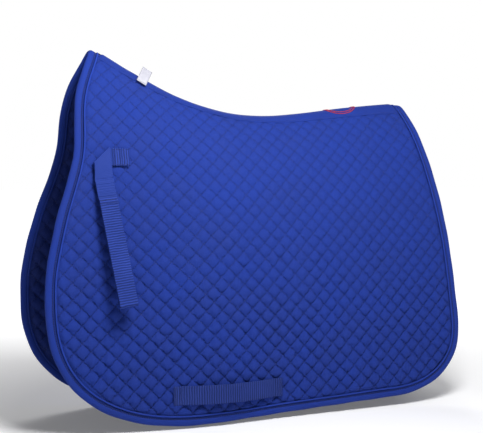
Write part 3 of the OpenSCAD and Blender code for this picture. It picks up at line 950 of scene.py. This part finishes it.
for label, side in SIDES:
    flap = ("spine_part", f"{label}_flap")
    zone = fold_zone(side)
    finish_piece(binding_tape(f"{label}_binding_tape", side), "binding", flap, "binding_tape", f"{label}_binding",
                 "front_binding_arch", "rear_binding_arch", zone=zone)
    finish_piece(piping(f"{label}_piping_cord", side), "piping", flap, "piping_cord", f"{label}_piping",
                 "front_piping_arch", "rear_piping_arch", zone=zone)
    finish_piece(edge_stitches(f"{label}_binding_stitches", side), "dark_thread", flap, "sewing_thread", zone=zone)
    finish_piece(quilting_thread(f"{label}_quilting_thread", side, False), "thread", flap, "sewing_thread", zone=zone)
    finish_piece(quilting_thread(f"{label}_lining_thread", side, True), "dark_thread", flap, "sewing_thread", zone=zone)

# ---------------------------------------------------------------- tapes over and under the ridge, emblem


def over_ridge(p, s, layer):
    """Point at a signed distance s across the ridge: below 0 on the near side."""
    p, s, layer = np.broadcast_arrays(*[np.asarray(a, float) for a in (p, s, layer)])
    point = skin_s(p, np.abs(s), layer, 1)
    point[..., 1] *= np.where(s < 0, -1, 1)
    return point


def ridge_ends(s):
    """p of the tape's two ends at a distance across, tucked into the binding."""
    return curve(FRONT_LINE, 97 - 0.93 * np.abs(s)) + 6.5, curve(REAR_LINE, 38 - 0.62 * np.abs(s)) - 6.5


def tape_layer(p, s):
    x1, x2 = ridge_ends(s)
    share = np.abs(s) / tape_half(p)
    layer = -0.35 + 2.1 * share**3 + 0.35 * np.exp(-(((np.abs(s) - tape_half(p) + 2.2) / 0.8) ** 2))
    layer = layer - 0.16 * np.sin(p / 5.3 + 1.7 * np.sin(p / 31.0) + s / 7.0) * share
    return lerp(3.7, layer, smooth((np.minimum(p - x1, x2 - p) + 6.5 - 12) / 9.0))


def ridge_band(name, inner):
    t = np.linspace(0, 1, 260)
    share = np.sin(np.linspace(-0.5, 0.5, 31) * math.pi)
    share = 0.5 * share + 0.5 * np.linspace(-1, 1, 31)
    x1, x2 = ridge_ends(share * 20)
    p = x1[None, :] + (x2 - x1)[None, :] * t[:, None]
    s = share[None, :] * tape_half(p)
    layer = tape_layer(p, s)
    layer = PAD - layer - 0.2 if inner else layer + 0.4
    grid = over_ridge(p, s, layer)
    n = over_ridge(p, s, layer - 1) - grid
    n[:, 15] = n[:, 14] + n[:, 16]
    return cloth_slab(name, grid, 0.8, np.stack([s, p], -1), normals=unit(n))


def tape_stitches(name, inner):
    parts = []
    for sign in (-1, 1):
        p = np.arange(-246, 230, STITCH_STEP)
        s = sign * (tape_half(p) - 2.2)
        x1, x2 = ridge_ends(s)
        ok = (p > x1 + 6) & (p < x2 - 6)
        p, s = p[ok], s[ok]
        layer = tape_layer(p, s) - 0.12
        layer = PAD - layer if inner else layer
        here, run, out = placed(over_ridge, p, s, layer)
        parts.append((here, run, -out if inner else out))
    return stitches(name, parts, 2.4, 0.55, 0.4)


finish_piece(ridge_band("spine_tape_strip", False), "spine", "spine_part", "spine_cotton", "spine_tape")
finish_piece(ridge_band("spine_underlay_strip", True), "lining", "spine_part", "cotton_lining", "spine_underlay")
finish_piece(tape_stitches("spine_tape_stitches", False), "dark_thread", "spine_part", "sewing_thread")
finish_piece(tape_stitches("spine_underlay_stitches", True), "dark_thread", "spine_part", "sewing_thread")


def horseshoe(name):
    """Two satin-stitched lines in the outline of a horseshoe, closed at its heels, with nail holes between them."""
    middle, half = 132.0, np.array([24.0, 15.0])
    rows = []

    def place(a, grow):
        return middle + (half[0] + grow) * np.cos(a), (half[1] + grow) * np.sin(a)

    def sew(a, grow, across):
        """A close row of short stitches along angle a, across the line or along it."""
        layer = tape_layer(*place(a, grow)) - 0.28
        c, _, n = placed(over_ridge, *place(a, grow), layer)
        run = over_ridge(*(place(a, grow + 0.4) if across else place(a + 0.01, grow)), layer) - c
        rows.append((c, run, n))

    sweep = math.radians(155)
    for grow in (1.7, -1.7):
        size = half.mean() + 4 + grow
        sew(np.arange(-math.pi / 2 - sweep, -math.pi / 2 + sweep, 0.33 / size), grow, True)
    heels = [(end * sweep, np.arange(-2.3, 2.4, 0.34)) for end in (-1, 1)]
    nails = [(k * 0.62, np.arange(-0.75, 0.8, 0.34)) for k in (-3, -2, -1, 1, 2, 3)]
    for angle, grows in heels + nails:
        for grow in grows:
            sew(np.array([-math.pi / 2 + angle]), grow, False)
    return stitches(name, rows, 1.55, 0.42, 0.55)


finish_piece(horseshoe("horseshoe_embroidery"), "red", "spine_part", "emblem_thread", "spine_emblem")

# ---------------------------------------------------------------- care label


def rotation(axis, degrees):
    return np.array(Matrix.Rotation(math.radians(degrees), 3, axis))


def label_frame(points):
    """From the label's plane (X across it, Z up it, origin at its seam) to the pad."""
    x, depth = -187.5, 11.0
    base = np.array([x, -float(outer_half(x, depth)) - 2.6, float(ridge(x)) - depth])
    return np.asarray(points, float) @ (rotation("Y", 30) @ rotation("X", -15)).T + base


def care_label(name):
    profile = np.array([(-0.30, 0.3), (-0.36, 2), (-0.62, 7), (-0.70, 12), (-0.55, 18), (-0.42, 21.5),
                        (-0.28, 22.7), (0, 23.15), (0.28, 22.7), (0.36, 21.5), (0.42, 18), (0.36, 12), (0.32, 7), (0.26, 2), (0.24, 0.3)])
    t = path_length(profile)
    u = np.linspace(0, t[-1], 90)
    y, z = np.interp(u, t, profile[:, 0]), np.interp(u, t, profile[:, 1])
    x = np.linspace(-7.5, 7.5, 13)
    curl = 0.25 * (x / 7.5) ** 2
    grid = np.stack(np.broadcast_arrays(x[None, :], y[:, None] - curl[None, :] * (z[:, None] / 23.0), z[:, None]), -1)
    return cloth_slab(name, label_frame(grid), 0.2), t[-1]


label_piece, label_length = care_label("satin_label")
finish_piece(label_piece, "label", "label_body", "label_satin", "care_label")
x = np.arange(-6.2, 6.3, 2.1)
points = label_frame(np.stack([x, -0.62 + 0 * x, 2.0 + 0 * x], 1))
direction = label_frame([[1, 0, 0]]) - label_frame([[0, 0, 0]])
outward = label_frame([[0, -1, 0]]) - label_frame([[0, 0, 0]])
row = (points, np.repeat(direction, len(x), 0), np.repeat(outward, len(x), 0))
finish_piece(stitches("label_stitches", [row], 1.5, 0.4, 0.3), "thread", "label_body", "sewing_thread")

# ---------------------------------------------------------------- girth keeper

WEB_W, WEB_T = 25.0, 1.4


def ribs(t):
    """Height of the cross ribs along a band of webbing."""
    return 0.2 * np.cos(2 * math.pi * t / RIB)


def on_flap(side):
    """f(x, z, layer) on the flap by height, with the slow sway left out, for what is sewn to it."""
    def f(x, z, layer):
        x, z, layer = np.broadcast_arrays(*[np.asarray(a, float) for a in (x, z, layer)])
        e = np.maximum(ridge(x) - DROP * layer - z, 0)
        return np.stack([x, side * layer_half(x, e, layer), z], -1)
    return f


KEEPER = (-171.0, -15.0, -364.0)  # X of its two ends, and its height
KEEPER_BOW = 9.0  # how far its middle stands off the flap


def keeper(name, side):
    x = np.arange(KEEPER[0], KEEPER[1] + 0.01, 0.52)
    z = np.concatenate([[-12.5, -12.2], np.linspace(-11.4, 11.4, 9), [12.2, 12.5]])
    t = np.clip((x - KEEPER[0] - 12) / (KEEPER[1] - KEEPER[0] - 24), 0, 1)
    rise = KEEPER_BOW * 4 * t * (1 - t)
    ends = np.minimum(x - KEEPER[0], KEEPER[1] - x)
    hem = 0.35 * (1 - smooth((ends - 10) / 2)) - 0.45 * np.exp(-((ends - 4) ** 2)) - 0.35 * np.exp(-((ends - 9.5) ** 2))
    grid = on_flap(side)(x[:, None], KEEPER[2] + z[None, :], -(0.35 + WEB_T / 2 + rise + 0.3 * hem)[:, None])
    n = grid_normals(grid)
    n *= np.sign(n[..., 1:2]) * side
    return cloth_slab(name, grid, WEB_T - 0.2, lattice(z, x), relief=ribs(x)[:, None] * 0.8, normals=n)


def upright(side):
    """Surface f(z, x, layer) on the flap, for rows of stitches that run up it."""
    return lambda z, x, layer: on_flap(side)(x, z, layer)


def keeper_sewing(name, side):
    up = KEEPER[2] + np.arange(-10.4, 10.5, 2.6)
    rows = [placed(upright(side), up, x, -(0.35 + WEB_T + 0.05))
            for x in (KEEPER[0] + 2.6, KEEPER[0] + 9.6, KEEPER[1] - 9.6)]
    z = np.arange(-10.5, 10.6, 1.1)
    zigzag = np.where(np.arange(len(z)) % 2, 1, -1)
    here, run, out = placed(upright(side), KEEPER[2] + z, KEEPER[1] - 4.0 + 1.1 * zigzag, -(0.35 + WEB_T + 0.1))
    rows.append((here, unit(run) + zigzag[:, None] * np.array([0.9, 0, 0]), out))
    return stitches(name, rows, 2.1, 0.6, 0.45)


# ---------------------------------------------------------------- billet strap

PIVOT = np.array([-242.0, -51.0])
ANCHOR_ROWS = (4.0, 8.4, 12.8, 17.2, 21.6)  # rows of stitches, behind the pivot
LIFT = WEB_T + 1.2
HANG = 7.0
CREASE = np.array([-12.5, -30.4, LIFT])
STRAP_LEN, TAB_LEN = 168.0, 142.0
TAB_LEVEL = WEB_T + 2.4 + 0.7
TAB_SHIFT = -1.1


def strap_point(points, side):
    """From the strap's plane (X to the rear, Y up, Z outward, origin on the pivot) to the row frame."""
    base = np.array([PIVOT[0], -float(outer_half(PIVOT[0], ridge(PIVOT[0]) - PIVOT[1])), PIVOT[1]])
    out = np.asarray(points, float) @ rotation("X", 76).T + base
    out[..., 1] *= 1 if side == NEAR else -1
    return out


def run_point(points, side):
    """From the plane of the hanging part, with its origin on the crease."""
    return strap_point(np.asarray(points, float) @ rotation("Z", HANG).T + CREASE, side)


def anchor(name, side):
    x = PIVOT[0] + 0.5 + np.linspace(0, 24, 49)
    z = np.concatenate([[-11.5, -11.2], np.linspace(-10.4, 10.4, 9), [11.2, 11.5]])
    dip = 0.3 * np.exp(-(((x[:, None] - PIVOT[0] - np.array(ANCHOR_ROWS)) / 0.7) ** 2)).sum(1)
    f = on_flap(side)
    grid = f(x[:, None], PIVOT[1] + z[None, :], -(0.3 + WEB_T / 2 - dip)[:, None])
    n = f(x[:, None], PIVOT[1] + z[None, :], -(1.3 + WEB_T / 2 - dip)[:, None]) - grid
    return cloth_slab(name, grid, WEB_T - 0.2, lattice(z, x), relief=ribs(x)[:, None] * 0.8, normals=unit(n))


def anchor_sewing(name, side):
    up = PIVOT[1] + np.arange(-9.6, 9.7, 2.4)
    back = PIVOT[0] + np.arange(3.0, 23.1, 2.5)
    rows = [placed(upright(side), up, PIVOT[0] + row, -(0.3 + WEB_T - 0.15)) for row in ANCHOR_ROWS]
    rows += [placed(on_flap(side), back, PIVOT[1] + z, -(0.3 + WEB_T + 0.05)) for z in (-10.0, 10.0)]
    return stitches(name, rows, 2.0, 0.6, 0.45)


def strap_turn(name, side):
    """The webbing comes from the anchor, folds over at 45 degrees and turns down to the crease."""
    across = np.concatenate([[0, 0.015], np.linspace(0.06, 0.94, 11), [0.985, 1]])
    fold = lerp(np.array([-24.0, -9.5]), np.array([-1.4, 11.5]), across[:, None])
    sewn = lerp(np.array([1.0, -11.5]), np.array([1.0, 11.5]), across[:, None])
    crease = lerp(np.array([-24.9, -31.9]), np.array([-0.1, -28.8]), across[:, None])
    low, high = 1.25, 3.5
    mid, r = (low + high) / 2, (high - low) / 2
    outward = np.array([-0.681, 0.733])
    rows = []
    for t in np.linspace(0, 1, 14)[:-1]:
        rows.append(np.column_stack([lerp(sewn, fold, t), np.full(len(across), low)]))
    for a in np.linspace(-math.pi / 2, math.pi / 2, 9):
        rows.append(np.column_stack([fold + outward * r * math.cos(a), np.full(len(across), mid + r * math.sin(a))]))
    for t in np.linspace(0, 1, 40)[1:]:
        z = high + 0.8 * math.sin(math.pi * min(1, t * 1.3)) - 0.75 * t**6
        rows.append(np.column_stack([lerp(fold, crease, t), z + 0.25 * np.sin(across * math.pi) * math.sin(math.pi * t)]))
    grid = strap_point(np.array(rows), side)
    length = path_length(grid[:, 7])
    uv = lattice((across - 0.5) * WEB_W, length)
    return cloth_slab(name, grid, WEB_T - 0.2, uv, relief=ribs(length)[:, None] * 0.15, normals=grid_normals(grid))


ACROSS = np.concatenate([[-12.5, -12.25], np.linspace(-11.4, 11.4, 11), [12.25, 12.5]])


def strap_band(name, side, line, shift=0.0, width=1.0):
    """Webbing along a line of (y, z) in the plane of the hanging part, with its ribs."""
    line = np.asarray(line, float)
    t = path_length(line)
    u = np.linspace(0, t[-1], int(t[-1] / 0.55) + 1)
    y, z = np.interp(u, t, line[:, 0]), np.interp(u, t, line[:, 1])
    x = ACROSS[None, :] * width + shift
    grid = run_point(np.stack(np.broadcast_arrays(x, y[:, None], z[:, None]), -1), side)
    return cloth_slab(name, grid, WEB_T - 0.2, lattice(ACROSS, u), relief=ribs(u)[:, None])


def run_line():
    y = np.linspace(0.4, -STRAP_LEN + 2.3, 120)
    pleat = 0.75 * np.exp(-(((y + 4.5) / 3.0) ** 2)) - 0.3 * np.exp(-((y / 1.5) ** 2))
    return np.stack([y, WEB_T / 2 + pleat], 1)


def tab_line():
    low, high = WEB_T / 2, TAB_LEVEL + WEB_T / 2
    r = (high - low) / 2
    a = np.linspace(0, math.pi, 18)
    bend = np.stack([-STRAP_LEN + r - r * np.sin(a), (low + high) / 2 - r * np.cos(a)], 1)
    y = np.linspace(-STRAP_LEN + r, -STRAP_LEN + TAB_LEN, 100)[1:]
    up = np.stack([y, high + 0.5 * smooth((y + STRAP_LEN - TAB_LEN + 30) / 30)], 1)
    return np.concatenate([bend, up])


def tab_hem(name, side):
    """The tab's end, turned under and sewn: a second ply under its top."""
    top = -STRAP_LEN + TAB_LEN
    y = np.linspace(top - 0.4, top - 9.5, 20)
    z = TAB_LEVEL + WEB_T / 2 + 0.5 - 0.95 + 0 * y
    return strap_band(name, side, np.stack([y, z], 1), TAB_SHIFT, 0.985)


def hem_sewing(name, side):
    x = np.arange(-10.8, 10.9, 2.7)
    origin = run_point([[0, 0, 0]], side)
    run, out = (np.repeat(run_point([axis], side) - origin, len(x), 0) for axis in ((1, 0, 0), (0, 0, 1)))
    z = TAB_LEVEL + WEB_T + 0.6
    rows = [(run_point(np.stack([x, 0 * x - STRAP_LEN + TAB_LEN - drop, 0 * x + z], 1), side), run, out)
            for drop in (3.2, 7.6)]
    return stitches(name, rows, 2.1, 0.6, 0.45)


def pile_band(name, side, y0, y1, z0, z1):
    """Hook or loop tape: a woven ground with a dense pile on one side."""
    y = np.arange(y0, y1, 0.9)
    x = np.concatenate([[-11.5], np.linspace(-10.9, 10.9, 26), [11.5]])
    z = (z0 + z1) / 2 + 0.12 * np.sin(y * 5.1)[:, None] * np.sin(x * 4.3)[None, :]
    grid = run_point(np.stack(np.broadcast_arrays(x[None, :], y[:, None], z), -1), side)
    return cloth_slab(name, grid, z1 - z0 - 0.3, lattice(x, y))


for label, side in SIDES:
    flap = f"{label}_flap"
    turn_body, strap_body, tab_body = (f"{label}_{b}" for b in ("strap_turn_body", "strap_body", "tab_body"))
    for made, name, mat, slot, node in (
            (keeper, "keeper_webbing", "keeper", "webbing", "girth_keeper"),
            (keeper_sewing, "keeper_sewing", "dark_thread", "sewing_thread", "keeper_stitching"),
            (anchor, "anchor_webbing", "webbing", "webbing", "billet_anchor"),
            (anchor_sewing, "anchor_sewing", "dark_thread", "sewing_thread", "anchor_stitching")):
        finish_piece(made(f"{label}_{name}", side), mat, flap, slot, f"{label}_{node}")
    sewn_to_free = [tuple(strap_point([[-0.507 * r, -0.862 * r, LIFT]], side)[0]) for r in (9.5, 23.0)]
    finish_piece(strap_turn(f"{label}_turned_webbing", side), "turned", (flap, turn_body), "webbing",
                 f"{label}_strap_turn", zone=sewn_to_free)
    down = lambda y, z: tuple(run_point([[0, y, z]], side)[0])
    finish_piece(strap_band(f"{label}_hanging_webbing", side, run_line()), "turned", (turn_body, strap_body), "webbing",
                 f"{label}_strap_run", zone=(down(1.5, 0.7), down(-4, 0.7)))
    finish_piece(strap_band(f"{label}_tab_webbing", side, tab_line(), TAB_SHIFT, 0.97), "webbing",
                 (strap_body, tab_body), "webbing", f"{label}_strap_tab",
                 zone=(down(-STRAP_LEN, WEB_T / 2), down(-STRAP_LEN, TAB_LEVEL + WEB_T / 2)))
    finish_piece(tab_hem(f"{label}_tab_hem", side), "webbing", tab_body, "webbing")
    finish_piece(hem_sewing(f"{label}_tab_stitches", side), "dark_thread", tab_body, "sewing_thread")
    loops = pile_band(f"{label}_loop_pile", side, 28 - STRAP_LEN, 133 - STRAP_LEN, WEB_T + 0.1, WEB_T + 1.3)
    finish_piece(loops, "pile", strap_body, "hook_and_loop", f"{label}_loop_tape")
    hooks = pile_band(f"{label}_hook_pile", side, 70 - STRAP_LEN, TAB_LEN - 11 - STRAP_LEN,
                      TAB_LEVEL - 1.3, TAB_LEVEL - 0.1)
    finish_piece(hooks, "hooks", tab_body, "hook_and_loop", f"{label}_hook_tape")

# ---------------------------------------------------------------- floor, light, finish

scene.view_settings.view_transform = "Standard"


def stage_plane(name, size, place, colour, glow):
    """Pale floor with painted light: it glows, faintly near the object and more brightly away from it."""
    me = bpy.data.meshes.new(name)
    s = size / 2
    me.from_pydata([(-s, -s, 0), (s, -s, 0), (s, s, 0), (-s, s, 0)], [], [(0, 1, 2, 3)])
    o = linked(name, me)
    o.location = place
    m = bpy.data.materials.new(name)
    m.use_nodes = True
    b = m.node_tree.nodes["Principled BSDF"]
    b.inputs["Base Color"].default_value = (*colour, 1)
    b.inputs["Roughness"].default_value = 0.9
    b.inputs["Specular IOR Level"].default_value = 0.0
    b.inputs["Emission Color"].default_value = (1, 1, 1, 1)
    n = Nodes(m)
    far = n.node("ShaderNodeVectorMath")
    far.operation = "LENGTH"
    n.link(n.object(), far.inputs[0])
    # painted light: the floor's glow rises with distance from the object
    n.give("Emission Strength", n.ramp(n.math("DIVIDE", far.outputs["Value"], 4.0), [(k / 4.0, v) for k, v in glow]))
    me.materials.append(m)


stage_plane("floor", 60.0, (0, 0, -0.4095), (0.86, 0.86, 0.87), [(0.35, 0.12), (1.0, 0.66), (2.0, 0.95)])


def area_light(name, place, aim, size, power):
    d = bpy.data.lights.new(name, "AREA")
    d.shape, d.size, d.energy = "SQUARE", size, power
    o = linked(name, d)
    o.location = place
    o.rotation_mode = "QUATERNION"
    o.rotation_quaternion = (Vector(aim) - Vector(place)).to_track_quat("-Z", "Y")


area_light("key", (-0.10, -0.60, 0.46), (-0.03, -0.06, -0.14), 0.28, 10.6)
area_light("rear", (0.5, 1.2, 0.9), (0, 0, -0.1), 0.8, 12)
world = bpy.data.worlds.new("world")
scene.world = world
world.use_nodes = True
wn = world.node_tree
coord, split = wn.nodes.new("ShaderNodeTexCoord"), wn.nodes.new("ShaderNodeSeparateXYZ")
sky = wn.nodes.new("ShaderNodeValToRGB")
wn.links.new(coord.outputs["Generated"], split.inputs["Vector"])
wn.links.new(split.outputs["Z"], sky.inputs["Fac"])
sky.color_ramp.elements[0].position, sky.color_ramp.elements[0].color = 0.20, (1, 1, 1, 1)
sky.color_ramp.elements[1].position, sky.color_ramp.elements[1].color = 0.30, (0.09, 0.09, 0.09, 1)
wn.links.new(sky.outputs["Color"], wn.nodes["Background"].inputs["Color"])
behind = wn.nodes.new("ShaderNodeMapRange")
behind.inputs["From Min"].default_value, behind.inputs["From Max"].default_value = -1.0, 0.0
behind.inputs["To Min"].default_value, behind.inputs["To Max"].default_value = 0.65, 1.0
wn.links.new(split.outputs["Y"], behind.inputs["Value"])
wn.links.new(behind.outputs["Result"], wn.nodes["Background"].inputs["Strength"])
